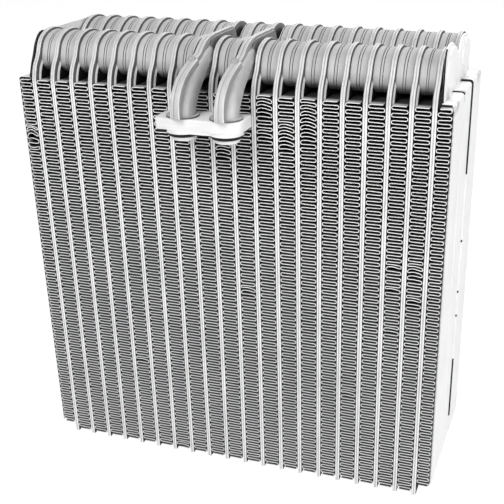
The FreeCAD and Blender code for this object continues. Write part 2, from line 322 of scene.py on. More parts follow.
def sealRubberAndShade(values):
    finish = Finish("sealRubberAndShade")
    speck = finish.noise(*values["speck"])
    body = finish.node("ShaderNodeBsdfPrincipled", values={
        "Base Color": finish.ramp(speck, values["tones"]),
        "Roughness": speck * values["roughSpread"] + values["rough"],
        "Normal": finish.bump(speck, *values["bump"]),
        "Specular IOR Level": values["gloss"]})
    return finish.close(body)


metals = {key: bareMetal(key + "Metal", values) for key, values in metalSet.items()}
rubberAndShade = sealRubberAndShade(rubberAndShadeSet)
print("core: materials made")


# Modelling helpers

mergeGap = 0.00001
facing = 0.95     # a face looks along an axis when its normal's part on that axis is past this
leaning = 0.5     # it only leans that way when the part is past this
outward = 0.1     # and looks away from the core at all when it is past this


def clearSelection():
    bpy.ops.object.select_all(action="DESELECT")


def pick(*pieces):
    clearSelection()
    for piece in pieces:
        piece.select_set(True)
    bpy.context.view_layer.objects.active = pieces[0]


def editAll(piece):
    pick(piece)
    bpy.ops.object.mode_set(mode="EDIT")
    bpy.ops.mesh.select_all(action="SELECT")


def leaveEdit():
    bpy.ops.object.mode_set(mode="OBJECT")


def fullTurn(steps):
    return [math.tau * step / steps for step in range(steps)]


def halfTurn(steps):
    return [math.pi * step / steps for step in range(steps + 1)]


def outlineFace(name, corners):
    # A filled outline: a primitive with its rim put where the pressing's edge runs.
    clearSelection()
    bpy.ops.mesh.primitive_circle_add(vertices=len(corners), radius=0.01, fill_type="NGON")
    piece = bpy.context.object
    piece.name = name
    for vertex, corner in zip(piece.data.vertices, corners):
        vertex.co = corner
    return piece


def pushOut(move):
    bpy.ops.mesh.extrude_region_move(TRANSFORM_OT_translate={"value": move})


def tidyMesh(piece):
    editAll(piece)
    bpy.ops.mesh.remove_doubles(threshold=mergeGap)
    bpy.ops.mesh.normals_make_consistent(inside=False)
    leaveEdit()


def softenEdges(piece, width, segments, angle=35):
    pick(piece)
    bevel = piece.modifiers.new("edges", "BEVEL")
    bevel.width = width * mm
    bevel.segments = segments
    bevel.limit_method = "ANGLE"
    bevel.angle_limit = math.radians(angle)
    bevel.use_clamp_overlap = True
    bpy.ops.object.modifier_apply(modifier=bevel.name)


def smoothBy(piece, angle):
    pick(piece)
    bpy.ops.object.shade_smooth_by_angle(angle=math.radians(angle))


def slabPiece(name, corners, thickness, edge=0.0, segments=2):
    # An outline pushed out to its thickness, with its edges eased.
    piece = outlineFace(name, corners)
    editAll(piece)
    pushOut(thickness)
    leaveEdit()
    tidyMesh(piece)
    if edge > 0:
        softenEdges(piece, edge, segments)
    return piece


def skinRings(name, rings, closed=False):
    # Walls between rings of corners, with both ends filled or joined in a loop.
    mesh = bpy.data.meshes.new(name)
    work = bmesh.new()
    rows = [[work.verts.new(corner) for corner in ring] for ring in rings]
    count = len(rings[0])
    last = len(rows) if closed else len(rows) - 1
    for number in range(last):
        here = rows[number]
        there = rows[(number + 1) % len(rows)]
        for corner in range(count):
            after = (corner + 1) % count
            work.faces.new((here[corner], here[after], there[after], there[corner]))
    if not closed:
        work.faces.new(rows[0])
        work.faces.new(rows[-1][::-1])
    work.to_mesh(mesh)
    work.free()
    piece = bpy.data.objects.new(name, mesh)
    bpy.context.scene.collection.objects.link(piece)
    tidyMesh(piece)
    return piece


def joined(name, pieces):
    pick(*pieces)
    if len(pieces) > 1:
        bpy.ops.object.join()
    piece = bpy.context.view_layer.objects.active
    piece.name = name
    piece.data.name = name
    return piece


def copyOf(source, name):
    piece = source.copy()
    piece.data = source.data.copy()
    piece.name = name
    piece.data.name = name
    bpy.context.scene.collection.objects.link(piece)
    return piece


def flipX(piece):
    piece.data.transform(Matrix.Diagonal((-1, 1, 1, 1)))
    piece.data.flip_normals()


def dress(piece, material):
    piece.data.materials.clear()
    piece.data.materials.append(material)


def tint(piece, material, test):
    # The faces that pass the test take another material.
    piece.data.materials.append(material)
    place = len(piece.data.materials) - 1
    for face in piece.data.polygons:
        if test(face.center, face.normal):
            face.material_index = place


def settle(piece, slot, *nodes):
    # The finished piece rides on the part and stands for its solids.
    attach(piece, "root")
    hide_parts(*nodes)


# Tube plates

plateSet = {
    "rim": 1.2,
    "wall": 2.0,
    "rimWidth": 3.0,
    "slope": 0.9,
    "edge": 0.36,
    "outline": (
        (0, 222.5), (0.4, 224.5), (1.0, 226.8), (1.9, 229.0), (3.1, 231.2), (4.7, 233.2),
        (6.0, 234.9), (7.0, 236.8), (7.8, 238.6), (8.8, 240.6), (10.2, 242.5), (12.2, 244.3),
        (14.8, 245.7), (18.0, 246.7), (21.5, 247.2), (25.0, 247.2), (28.0, 246.7), (31.0, 245.7),
        (34.0, 244.2), (37.0, 242.1), (39.6, 239.7), (41.6, 237.3), (43.4, 235.3), (45.2, 234.2)),
    "valleyFloor": 233.9,
    "ductGaps": (9, 11),      # gap number one lies between the first two pairs
    # where the materials change, outwards from the joint
    "jointTo": 0.3,
    "rimFrom": 1.1,
    "darkFrom": 1.15,
    "darkLean": 0.3,
    "wallFrom": 1.95,
    # and in height
    "darkTop": 222.6,
    "ductShadeFrom": 225.0,
}
cupSet = {
    "centre": (24.8, 235.0),
    "line": (
        (7.4, 232.0), (8.1, 235.0), (8.9, 237.4), (10.1, 240.0), (11.6, 241.9), (13.5, 243.4),
        (15.8, 244.7), (18.5, 245.6), (21.6, 246.1), (25.0, 246.1), (27.6, 245.6), (30.4, 244.6),
        (33.2, 243.1), (36.0, 241.0), (38.4, 238.8), (40.2, 236.4), (41.4, 233.6), (41.6, 230.6),
        (40.8, 228.4), (38.6, 226.5), (35.0, 225.3), (30.0, 224.9), (25.0, 224.8), (19.0, 224.9),
        (14.5, 225.4), (11.2, 226.5), (9.0, 228.1), (7.7, 229.9)),
    "cornerCut": 0.25,
    # from the joint outwards, how far the line is drawn in at each stage
    "stages": ((1.1, 0.6), (1.5, 0.3), (1.9, 0.08), (2.3, 0.0), (4.8, 0.0), (4.92, 0.5),
               (5.12, 0.5), (5.22, 0.04), (5.7, 0.02)),
    # painted shade at the cup's foot, and in the crease near where it meets the next pair's cup
    "footTo": 1.6,
    "crease": (4.8, 5.2),
}


def rounded(line, cut):
    # Each side of the line keeps two points, a share of the way in from its ends.
    smooth = []
    for number, (y, z) in enumerate(line):
        nextY, nextZ = line[(number + 1) % len(line)]
        smooth.append((y * (1 - cut) + nextY * cut, z * (1 - cut) + nextZ * cut))
        smooth.append((y * cut + nextY * (1 - cut), z * cut + nextZ * (1 - cut)))
    return smooth


def rimOutline(values):
    front = [(0.0, 0.0)] + list(values["outline"])
    back = [(depth - y, z) for y, z in reversed(front)]
    return front + [(depth / 2, values["valleyFloor"])] + back


def drawnCup(values, rear):
    # One cup of the tank: it follows the plate's rim above and is full below.
    centre = Vector(values["centre"])
    line = [Vector(point) for point in rounded(values["line"], values["cornerCut"])]
    rings = []
    for x, shrink in values["stages"]:
        ring = []
        for point in line:
            y, z = point + (centre - point).normalized() * shrink
            ring.append(spot(x, depth - y if rear else y, z))
        rings.append(ring)
    cup = skinRings("cup", rings)
    footTo = values["footTo"] * mm
    start, end = [x * mm for x in values["crease"]]
    dress(cup, metals["tank"])
    # Painted shade at the foot beside the rim and in the crease.
    tint(cup, metals["recess"], lambda middle, way: middle.x < footTo)
    tint(cup, metals["shaded"], lambda middle, way: start < middle.x < end)
    return cup


def halfPlate(values, tanks):
    # The right-hand plate of a pair, with the joint at x = 0 and a cup for each tank named.
    corners = [spot(0, y, z) for y, z in rimOutline(values)]
    plate = outlineFace("halfPlate", corners)
    editAll(plate)
    pushOut((values["rim"] * mm, 0, 0))
    bpy.ops.mesh.inset(thickness=values["rimWidth"] * mm, depth=0)
    bpy.ops.mesh.inset(thickness=values["slope"] * mm, depth=0)
    bpy.ops.transform.translate(value=((values["wall"] - values["rim"]) * mm, 0, 0))
    leaveEdit()
    tidyMesh(plate)
    softenEdges(plate, values["edge"], segments=3, angle=50)
    jointTo, rimFrom, darkFrom, wallFrom = [
        values[key] * mm for key in ("jointTo", "rimFrom", "darkFrom", "wallFrom")]
    lean = values["darkLean"]
    darkTop = values["darkTop"] * mm if tanks else math.inf
    dress(plate, metals["plate"])
    # Painted shade on the plate's outer face: the panel, the rim's side, and near-black between
    # the fins, all the way up where there are no cups; the joint keeps its own darker line.
    tint(plate, metals["panel"], lambda middle, way: middle.x > wallFrom and way.x > facing)
    tint(plate, metals["recess"],
         lambda middle, way: rimFrom < middle.x < wallFrom and way.x > facing)
    tint(plate, metals["dark"],
         lambda middle, way: middle.x > darkFrom and way.x > lean and middle.z < darkTop)
    tint(plate, metals["joint"], lambda middle, way: middle.x < jointTo and way.x > -facing)
    cups = [drawnCup(cupSet, tank == "rear") for tank in tanks]
    plate = joined("halfPlate", [plate] + cups)
    smoothBy(plate, angle=40)
    return plate


def makePlates(values):
    cupped = halfPlate(values, ("front", "rear"))
    besideDuct = halfPlate(values, ("rear",))
    plain = halfPlate(values, ())
    rimFrom = values["rimFrom"] * mm
    shadeFrom = values["ductShadeFrom"] * mm
    for number in range(1, pairCount + 1):
        ductOnLeft = number - 1 in values["ductGaps"]
        ductOnRight = number in values["ductGaps"]
        leftKind = plain if number == 1 else besideDuct if ductOnLeft else cupped
        rightKind = plain if number == pairCount or ductOnRight else cupped
        right = copyOf(rightKind, "right")
        if ductOnRight:
            tint(right, metals["shaded"], lambda middle, way: middle.x > rimFrom
                 and way.x > facing and middle.z > shadeFrom)
        left = copyOf(leftKind, "left")
        flipX(left)
        pair = joined("platePair%02d" % number, [right, left])
        pair.data.transform(Matrix.Translation((pairX(number) * mm, 0, 0)))
        settle(pair, "plates", "tube_plates_%02d" % number)
    for kind in (cupped, besideDuct, plain):
        bpy.data.objects.remove(kind)


makePlates(plateSet)
print("core: plates made")


# Serpentine fins

finSet = {
    "sheet": 0.34,
    "halfWave": 1.75,
    "bottom": 0.6,
    "outerBottoms": {1: 3.2, 21: 5.0},
    "wall": 1.45,
    "sunk": 1.2,              # how far in from the side plates' faces the outer fins end
    "legSteps": 4,
    "foldSteps": 4,
    "seed": 100,
    "wander": 0.07,
    "driftKept": 0.7,
    "driftShare": 0.6,
    "depths": (0.0, 2.5, 7.0, 86.0, 93.0),
    "bendSkew": 0.5,
    # fin, height, reach in height, lift of the middle, how far in it goes
    "bends": (
        (1, 193.0, 4.5, 2.2, 6.0), (1, 186.0, 2.0, -1.0, 4.0),
        (13, 217.5, 6.5, 1.2, 7.0), (13, 203.0, 4.0, 0.6, 6.0), (14, 203.5, 9.0, 1.3, 7.0),
        (15, 211.5, 12.0, 1.3, 7.0), (11, 193.0, 5.0, 0.9, 6.0),
        (12, 115.0, 3.0, 0.8, 5.0), (19, 139.0, 2.0, 0.8, 4.0), (19, 126.5, 1.6, 0.7, 4.0),
        (20, 138.0, 5.5, 1.0, 6.0), (20, 121.5, 2.5, 0.8, 5.0), (19, 103.0, 1.6, 0.7, 4.0),
        (8, 4.0, 3.0, 0.8, 4.0), (6, 60.0, 2.0, 0.6, 4.0), (17, 60.0, 3.0, 0.6, 4.0)),
}


def finLine(values, number, low, high):
    # The folded sheet's middle line, up the gap from side to side.
    dice = random.Random(values["seed"] + number)
    bottom = values["outerBottoms"].get(number, values["bottom"])
    radius = values["halfWave"] / 2
    half = values["sheet"] / 2
    left = low + half + radius
    right = high - half - radius
    count = int((coreTop - bottom) / values["halfWave"])
    line = []
    drift = 0.0
    for leg in range(count):
        z = coreTop - half - (count - 1 - leg) * values["halfWave"]
        push = dice.uniform(-1, 1) * values["wander"] * values["driftShare"]
        drift = values["driftKept"] * drift + push
        tilt = dice.uniform(-1, 1) * values["wander"]
        side = 1 if leg % 2 == 0 else -1
        start, end = (left, right) if side > 0 else (right, left)
        for step in range(values["legSteps"] + 1):
            share = step / values["legSteps"]
            line.append((start + (end - start) * share, z + drift + tilt * (2 * share - 1)))
        if leg < count - 1:
            for turn in halfTurn(values["foldSteps"])[1:-1]:
                x = end + side * radius * math.sin(turn)
                line.append((x, z + drift + radius * (1 - math.cos(turn))))
    return line


def bendFin(piece, middle, half, skew, height, reach, lift, inward):
    for vertex in piece.data.vertices:
        x = vertex.co.x / mm - middle
        y = (vertex.co.y - frontY) / mm
        z = vertex.co.z / mm - height
        if abs(z) < reach and y < inward:
            across = (1 - (x / half) ** 2) * (1 - skew * x / half)
            share = across * (1 - (z / reach) ** 2) * (1 - y / inward)
            vertex.co.z += lift * share * mm


def finPiece(values, number, low, high):
    line = finLine(values, number, low, high)
    route = bpy.data.curves.new("finLine", "CURVE")
    route.dimensions = "3D"
    spline = route.splines.new("POLY")
    spline.points.add(len(line) - 1)
    for point, (x, z) in zip(spline.points, line):
        point.co = (*spot(x, values["depths"][0], z), 1)
    piece = bpy.data.objects.new("finSheet%02d" % number, route)
    bpy.context.scene.collection.objects.link(piece)
    pick(piece)
    bpy.ops.object.convert(target="MESH")
    piece = bpy.context.object
    editAll(piece)
    for before, after in zip(values["depths"], values["depths"][1:]):
        pushOut((0, (after - before) * mm, 0))
    leaveEdit()
    for fin, *bend in values["bends"]:
        if fin == number:
            bendFin(piece, (low + high) / 2, (high - low) / 2, values["bendSkew"], *bend)
    solid = piece.modifiers.new("sheet", "SOLIDIFY")
    solid.thickness = values["sheet"] * mm
    solid.offset = 0
    pick(piece)
    bpy.ops.object.modifier_apply(modifier=solid.name)
    smoothBy(piece, angle=50)
    return piece


def makeFins(values):
    wall = values["wall"]
    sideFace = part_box("side_plate_right")[1].x / mm - values["sunk"]
    for number in range(1, pairCount + 2):
        low = pairX(number - 1) + wall if number > 1 else -sideFace
        high = pairX(number) - wall if number <= pairCount else sideFace
        piece = finPiece(values, number, low, high)
        dress(piece, metals["fin"])
        settle(piece, "fins", "fin_%02d" % number)


makeFins(finSet)
print("core: fins made")


# Side plates

sideSet = {
    "outer": 117.8,
    "upperInner": 110.3,
    "upperOuter": 111.3,
    "headSheet": 1.0,
    "headEdge": 0.25,
    "rightFront": 4.0,
    "leftFront": 0.6,
    "back": 89.0,
    "bottom": 6.7,
    "shelf": 223.2,
    "shelfLap": 0.2,
    "sheet": 1.4,
    "grooves": (32.6, 58.6),
    "grooveHalf": 1.7,
    "grooveDepth": 0.6,
    "grooveRound": (0.1, 0.45),       # rise of its floor's corners, and their share of its half
    "grooveLap": 0.05,
    "step": 0.5,
    "fold": 2.0,
    "foldSteps": 4,
    "edge": 0.12,
    # painted shade down the rear groove, and on the shelf from each groove's own height to the
    # top one
    "grooveShadeRuns": ((18.0, 58.0), (86.0, 87.4), (101.4, 102.8), (133.0, 134.4), (173.0, 222.6)),
    "shelfShade": (219.0, 222.0),
    "grooveShadeTop": 225.0,
    "domeMiddle": (25.2, 237.4),
    "domeLength": 15.5,
    "domeHeight": 10.3,
    "domeSteps": 36,
    "domeRings": ((-0.2, 0.0), (0.35, 0.25), (0.8, 0.9), (1.0, 1.9)),
    "domeSunk": 0.3,
    "rearDomeCut": 2.6,
    "head": (
        (6.0, 224.0), (5.7, 231.0), (6.0, 238.0), (6.4, 243.0), (7.0, 245.6), (8.1, 247.6),
        (9.8, 248.9), (12.5, 249.6), (18.7, 250.0), (23.5, 249.9), (27.5, 248.6), (31.5, 246.6),
        (36.0, 244.9), (41.0, 243.0), (44.5, 241.2), (46.3, 239.4), (47.6, 239.2), (48.8, 241.4),
        (50.5, 244.4), (54.5, 246.6), (60.0, 247.6), (65.5, 247.3), (71.0, 246.2), (75.8, 244.0),
        (79.5, 239.8), (82.5, 233.5), (85.4, 226.9), (86.2, 224.0)),
    "flatHead": ((1.2, 224.0), (4.4, 231.0), (7.0, 235.4), (9.2, 239.8), (11.2, 242.4),
                 (13.2, 244.4), (15.4, 245.7), (18.0, 246.2)),
    # the right plate's front edges in painted shade: out to x, heights from and to, back to y,
    # least lean
    "rightShade": ((111.32, 224.8, 249.3, 12.0, 0.45), (116.0, 222.0, 224.8, 6.0, 0.5)),
    # the left plate's front edges and its head's edges in painted shade
    "leftShade": {"backTo": 26.0, "from": 224.8, "across": 0.9},
    # the thin dark sheet of painted shadow inside the flat head's front
    "lip": {"y": 2.6, "z": -0.6, "thick": 0.25},
}


def wallSection(values, front):
    # Across the wall from front to back, as (out of the core, y): grooves are pressed inwards.
    step = values["step"]
    half = values["grooveHalf"]
    deep = -step - values["grooveDepth"]
    rise, share = values["grooveRound"]
    outside = [(-step, front)]
    for y in values["grooves"]:
        after = 0.0 if y == values["grooves"][-1] else -step
        outside += [(-step, y - half), (deep + rise, y - half * share), (deep, y)]
        outside += [(deep + rise, y + half * share), (after, y + half)]
    outside.append((0.0, values["back"]))
    inside = [(-values["sheet"], y) for push, y in reversed(outside)]
    return outside + inside


def inGrooveShade(values, middle, way):
    # Painted shade in the grooves on the shelf, and down the wall in the rear one as well.
    outside = way.x > outward or way.z > outward
    if not outside or abs(way.y) > facing:
        return False
    height = middle.z / mm
    reach = (middle.y - frontY) / mm
    half = values["grooveHalf"] + values["grooveLap"]
    for groove, start in zip(values["grooves"], values["shelfShade"]):
        if abs(reach - groove) < half:
            runs = [(start, values["grooveShadeTop"])]
            if groove == values["grooves"][-1]:
                runs += values["grooveShadeRuns"]
            return any(low < height < high for low, high in runs)
    return False


def sideDome(values, middleY, cut):
    # A shallow pressing over the end of each tank, cut off by the shelf.
    middleZ = values["domeMiddle"][1]
    floor = values["shelf"] + values["sheet"] - values["domeSunk"]
    rings = []
    for out, inset in values["domeRings"]:
        shrink = inset + cut
        ring = []
        for turn in fullTurn(values["domeSteps"]):
            y = middleY + (values["domeLength"] - shrink) * math.cos(turn)
            z = middleZ + (values["domeHeight"] - shrink) * math.sin(turn)
            ring.append(spot(values["upperOuter"] + out, y, max(z, floor)))
        rings.append(ring)
    return skinRings("sideDome", rings)


def sidePlate(values, outline, withDomes, front):
    section = wallSection(values, front)
    fold = values["fold"]
    outer = values["outer"]
    top = values["shelf"] + values["sheet"]
    path = [((outer, values["bottom"]), (1, 0))]
    path += [((outer, z), (1, 0)) for run in values["grooveShadeRuns"] for z in run if z < top - fold]
    path.append(((outer, top - fold), (1, 0)))
    for step in range(1, values["foldSteps"] + 1):
        turn = math.radians(90 * step / values["foldSteps"])
        way = (math.cos(turn), math.sin(turn))
        path.append(((outer - fold + fold * way[0], top - fold + fold * way[1]), way))
    path.append(((values["upperInner"] + values["shelfLap"], top), (0, 1)))
    rings = [[spot(x + push * outX, y, z + push * outZ) for push, y in section]
             for (x, z), (outX, outZ) in path]
    lower = skinRings("sideWall", rings)
    corners = [spot(values["upperInner"], y, z) for y, z in outline]
    upper = slabPiece("sideHead", corners, (values["headSheet"] * mm, 0, 0), values["headEdge"])
    domes = []
    if withDomes:
        middleY = values["domeMiddle"][0]
        domes = [sideDome(values, middleY, 0),
                 sideDome(values, depth - middleY, values["rearDomeCut"])]
    piece = joined("sidePlate", [lower, upper] + domes)
    softenEdges(piece, values["edge"], segments=1, angle=60)
    dress(piece, metals["side"])
    # Painted shade in the grooves.
    tint(piece, metals["dark"], lambda middle, way: inGrooveShade(values, middle, way))
    smoothBy(piece, angle=20)
    return piece


def headShadeSheet(values, line):
    # A thin dark sheet inside the flat head's front, as painted shadow of the gap there.
    lip = values["lip"]
    corners = [spot(values["upperInner"], y, z) for y, z in line]
    corners += [spot(values["upperInner"], y + lip["y"], z + lip["z"]) for y, z in reversed(line)]
    piece = slabPiece("lip", corners, (-lip["thick"] * mm, 0, 0))
    dress(piece, metals["dark"])
    return piece


def makeSidePlates(values):
    right = sidePlate(values, values["head"], True, values["rightFront"])
    right.name = "sidePlateRight"
    # Painted shade on the right head's front edges and the shelf's front.
    for outTo, low, high, backTo, lean in values["rightShade"]:
        tint(right, metals["dark"], lambda middle, way: way.y < -lean and middle.x < outTo * mm
             and low * mm < middle.z < high * mm and middle.y < frontY + backTo * mm)
    flat = list(values["flatHead"])
    outline = flat + [(depth - y, z) for y, z in reversed(flat)]
    left = sidePlate(values, outline, False, values["leftFront"])
    left = joined("sidePlateLeft", [left, headShadeSheet(values, flat)])
    backTo = frontY + values["leftShade"]["backTo"] * mm
    low = values["leftShade"]["from"] * mm
    across = values["leftShade"]["across"]
    # Painted shade on the left plate's front edges and on its head's edges.
    tint(left, metals["dark"], lambda middle, way: way.y < -leaning and middle.y < backTo)
    tint(left, metals["dark"], lambda middle, way: abs(way.x) < across and middle.z > low
         and middle.y < backTo)
    flipX(left)
    settle(right, "side_plates", "side_plate_right")
    settle(left, "side_plates", "side_plate_left")


makeSidePlates(sideSet)
print("core: side plates made")


# Duct pipes

# Lines are (y, z) pairs; front, rear and width give the pipe's section from its foot upwards.
ductSet = {
    "front": ((-27.65, 216.0), (-27.65, 217.3), (-27.5, 219.3), (-26.6, 221.8), (-25.4, 224.2),
              (-24.0, 226.4), (-21.9, 229.1), (-19.0, 231.9), (-15.4, 234.7), (-11.0, 237.0),
              (-6.6, 238.6), (-2.0, 240.0), (5.0, 242.4), (12.6, 244.6)),
    "rear": ((-14.95, 216.0), (-14.95, 217.3), (-14.6, 218.3), (-14.2, 219.2), (-13.2, 220.4),
             (-11.8, 221.4), (-10.2, 222.4), (-8.2, 223.5), (-6.2, 224.6), (-3.8, 225.8),
             (-1.9, 226.7), (0.2, 227.5), (5.0, 229.4), (12.6, 231.4)),
    "width": (6.35, 6.35, 6.35, 6.35, 6.3, 6.2, 6.0, 5.75, 5.3, 4.8, 4.3, 3.9, 3.8, 3.75),
    "steps": 14,
    "bead": {"radius": 8.2, "height": 1.0, "edge": 0.3},
    "flangeTip": (
        (-31.45, 217.4), (-31.4, 220.5), (-30.8, 224.0), (-29.3, 227.6), (-26.6, 231.0),
        (-22.9, 234.1), (-18.6, 236.5), (-14.0, 238.3), (-10.0, 239.6), (-6.0, 240.6),
        (-2.5, 241.6), (0.0, 242.5), (3.5, 245.0), (7.0, 247.0), (12.5, 248.6),
        (21.5, 248.9), (36.0, 248.9), (42.0, 248.9), (45.4, 248.6), (47.2, 247.4),
        (48.0, 244.5), (48.4, 240.0), (48.6, 234.0), (48.6, 228.3)),
    "flangeRear": ((3.0, 228.3), (0.0, 225.8), (-2.4, 223.9), (-5.0, 222.3), (-7.6, 220.9),
                   (-10.0, 219.4), (-11.6, 218.2), (-12.35, 217.4)),
    "flangeHalf": 1.2,
    # a line, then how far it stands out on the left half and on the right one
    "bands": (
        (((-31.5, 216.6), (-31.45, 220.6), (-30.85, 224.1), (-29.35, 227.7), (-26.65, 231.1),
          (-22.95, 234.2), (-18.65, 236.6), (-14.05, 238.4), (-10.05, 239.7), (-6.0, 240.7),
          (-5.0, 237.6), (-9.5, 236.3), (-13.4, 235.0), (-17.4, 233.3), (-21.2, 231.0),
          (-24.4, 228.3), (-26.7, 225.4), (-28.0, 222.2), (-28.4, 216.6)), 2.0, 2.9),
        (((-6.0, 240.65), (-2.55, 241.7), (-0.05, 242.6), (3.45, 245.1), (6.95, 247.1),
          (12.45, 248.7), (17.0, 249.0), (17.0, 246.5), (12.8, 246.0), (8.0, 244.4),
          (4.6, 242.3), (1.2, 240.0), (-1.6, 238.9), (-5.0, 237.8)), 1.8, 1.8),
    ),
    "bandEdge": 0.4,
    # the dark sheet of painted shadow in the gap, and the round pressing beside the upper band,
    # on the left half
    "gapShadowLine": (
        (-5.0, 240.3), (-2.0, 241.2), (0.4, 242.1), (3.9, 244.6), (7.3, 246.5), (11.0, 247.7),
        (11.0, 245.0), (8.0, 244.0), (4.6, 242.0), (1.2, 239.6), (-1.6, 238.6), (-4.0, 237.8)),
    "gapShadowHalf": 2.9,
    "button": {"middle": (-0.5, -7.2, 240.9), "lie": (0.4, 0.92), "steps": 24,
               "profile": ((1.95, -1.6), (1.95, 0.3), (1.6, 0.7), (1.15, 0.7), (0.9, 0.35))},
    # the slab between the tanks' cups and the web on top of it
    "slab": {"half": 3.8, "edge": 0.9, "segments": 4, "line": (
        (1.0, 230.3), (0.6, 233.0), (1.6, 235.4), (5.0, 237.4), (12.0, 239.0), (22.0, 240.0),
        (60.0, 240.0), (68.0, 239.6), (78.0, 238.4), (83.0, 236.0), (85.0, 233.0),
        (83.4, 230.3))},
    "web": {"half": 2.4, "edge": 0.5, "segments": 2, "line": (
        (11.5, 236.0), (11.8, 242.0), (12.6, 245.0), (14.4, 246.6), (17.4, 247.6),
        (21.5, 247.8), (43.0, 247.8), (46.0, 246.2), (47.3, 243.0), (47.6, 236.0))},
}


def ductStrip(values, middleX, side, points, half):
    corners = [spot(middleX, y, z) for y, z in points]
    out = (side * half * mm, 0, 0)
    strip = slabPiece("strip", corners, out, values["bandEdge"], segments=3)
    outer = (half - values["bandEdge"]) * mm
    dress(strip, metals["duct"])
    tint(strip, metals["band"], lambda middle, way: abs(way.x) < leaning)
    # Painted shade on the strips' sides.
    tint(strip, metals["seam"], lambda middle, way: abs(way.x) > facing)
    # Painted highlight lines: the eased outer edges take the pale plate metal.
    tint(strip, metals["plate"], lambda middle, way: abs(middle.x - middleX * mm) > outer
         and abs(way.x) < facing)
    return strip


def pressedButton(values, middleX):
    # The round pressing beside the flange, where the broad band ends.
    middle = spot(middleX, 0, 0) + Vector(values["middle"]) * mm
    alongY, alongZ = values["lie"]
    rings = []
    for radius, lift in values["profile"]:
        ring = []
        for turn in fullTurn(values["steps"]):
            reach = radius * math.sin(turn)
            ring.append(middle + Vector((radius * math.cos(turn), reach * alongY - lift * alongZ,
                                         reach * alongZ + lift * alongY)) * mm)
        rings.append(ring)
    button = skinRings("button", rings)
    dress(button, metals["seam"])
    return button


def pipeHalf(values, middleX, side):
    rings = []
    for (fy, fz), (ry, rz), width in zip(values["front"], values["rear"], values["width"]):
        ring = []
        for turn in halfTurn(values["steps"]):
            share = (1 + math.cos(turn)) / 2
            y = ry + (fy - ry) * share
            z = rz + (fz - rz) * share
            ring.append(spot(middleX + side * width * math.sin(turn), y, z))
        rings.append(ring)
    return skinRings("pipe", rings)


def footBead(values, middleX, side, steps):
    # The bead that the duct stands on, half round.
    ring = []
    for turn in halfTurn(steps):
        x = middleX + side * values["radius"] * math.sin(turn)
        ring.append(spot(x, pipeAxis + values["radius"] * math.cos(turn), blockTop))
    return slabPiece("bead", ring, (0, 0, values["height"] * mm), values["edge"])


def innerSlab(name, values, middleX, side):
    corners = [spot(middleX, y, z) for y, z in values["line"]]
    out = (side * values["half"] * mm, 0, 0)
    slab = slabPiece(name, corners, out, values["edge"], values["segments"])
    dress(slab, metals["shaded"])
    return slab


def ductHalf(values, middleX, side):
    pipe = pipeHalf(values, middleX, side)
    dress(pipe, metals["duct"])
    flange = values["flangeTip"] + values["flangeRear"]
    strips = [ductStrip(values, middleX, side, flange, values["flangeHalf"])]
    for points, leftHalf, rightHalf in values["bands"]:
        half = leftHalf if side < 0 else rightHalf
        strips.append(ductStrip(values, middleX, side, points, half))
    if side < 0:
        strips.append(pressedButton(values["button"], middleX))
        # A dark sheet as painted shadow in the gap beside the upper band.
        strips.append(ductStrip(values, middleX, side, values["gapShadowLine"], values["gapShadowHalf"]))
        dress(strips[-1], metals["dark"])
    slab = innerSlab("tank", values["slab"], middleX, side)
    web = innerSlab("web", values["web"], middleX, side)
    bead = footBead(values["bead"], middleX, side, values["steps"])
    dress(bead, metals["duct"])
    # The bead's sides take painted shade.
    tint(bead, metals["recess"], lambda middle, way: abs(way.z) < leaning)
    piece = joined("ductHalf", [pipe, slab, web, bead] + strips)
    smoothBy(piece, angle=40)
    return piece


def makeDucts(values):
    for name, middle in ports:
        for hand, side in (("left", -1), ("right", 1)):
            piece = ductHalf(values, middle, side)
            piece.name = name + "Duct" + hand.capitalize()
            settle(piece, "ducts", "%s_duct_%s_half" % (name, hand))


makeDucts(ductSet)
print("core: ducts made")


# Connector block and seals

blockSet = {
    "low": 209.4,
    "undercut": 0.75,
    "undercutIn": 0.3,
    "lap": 0.3,
    "edge": 0.4,
    "outline": ((-24.0, -27.8), (-24.0, -9.6), (20.4, -9.6), (20.4, -27.8)),
    "middleY": -20.0,
    "corners": (2.0, 7.0, 2.0, 8.5),
    "cornerSteps": 1.6,       # for each millimetre of a corner's radius
    "fewestSteps": 4,
    "roundSteps": 48,
    # the web between the bosses: half its length, nearest and furthest y, lower face
    "web": (11.4, -27.6, -12.0, 208.75),
    "webShade": 0.6,
    "webShadeLap": 0.1,
    "boss": 8.6,
    "bossRoot": 210.4,
    "bossLow": 208.0,
    "bossStep": (0.4, 0.7, 0.8),      # inwards, and its two heights above the boss's low end
    "bossShade": 0.78,                # painted shade up to this height above that end
    "spigot": 6.35,
    "spigotEase": 0.3,
    "lipEase": 0.15,
    "bore": 4.75,
    "groove": 5.05,
    "spigotLow": 204.9,
    "lip": 1.9,
    "ring": 1.35,
    "ringSteps": 14,
    "flat": 0.5,
}


def roundedOutline(values, corners, z):
    line = []
    count = len(corners)
    for number in range(count):
        here = Vector(corners[number])
        before = (Vector(corners[number - 1]) - here).normalized()
        after = (Vector(corners[(number + 1) % count]) - here).normalized()
        radius = values["corners"][number]
        centre = here + (before + after) * radius
        start = (here + before * radius - centre).normalized()
        end = (here + after * radius - centre).normalized()
        steps = max(values["fewestSteps"], int(radius * values["cornerSteps"]))
        for step in range(steps + 1):
            turn = step / steps * math.pi / 2
            point = centre + (start * math.cos(turn) + end * math.sin(turn)) * radius
            line.append(spot(point.x, point.y, z))
    return line


def turned(name, middleX, steps, profile):
    # A turned form round a pipe's upright axis, from pairs of radius and height.
    rings = []
    for radius, height in profile:
        rings.append([spot(middleX + radius * math.cos(turn), pipeAxis + radius * math.sin(turn),
                           height) for turn in fullTurn(steps)])
    return skinRings(name, rings, closed=True)


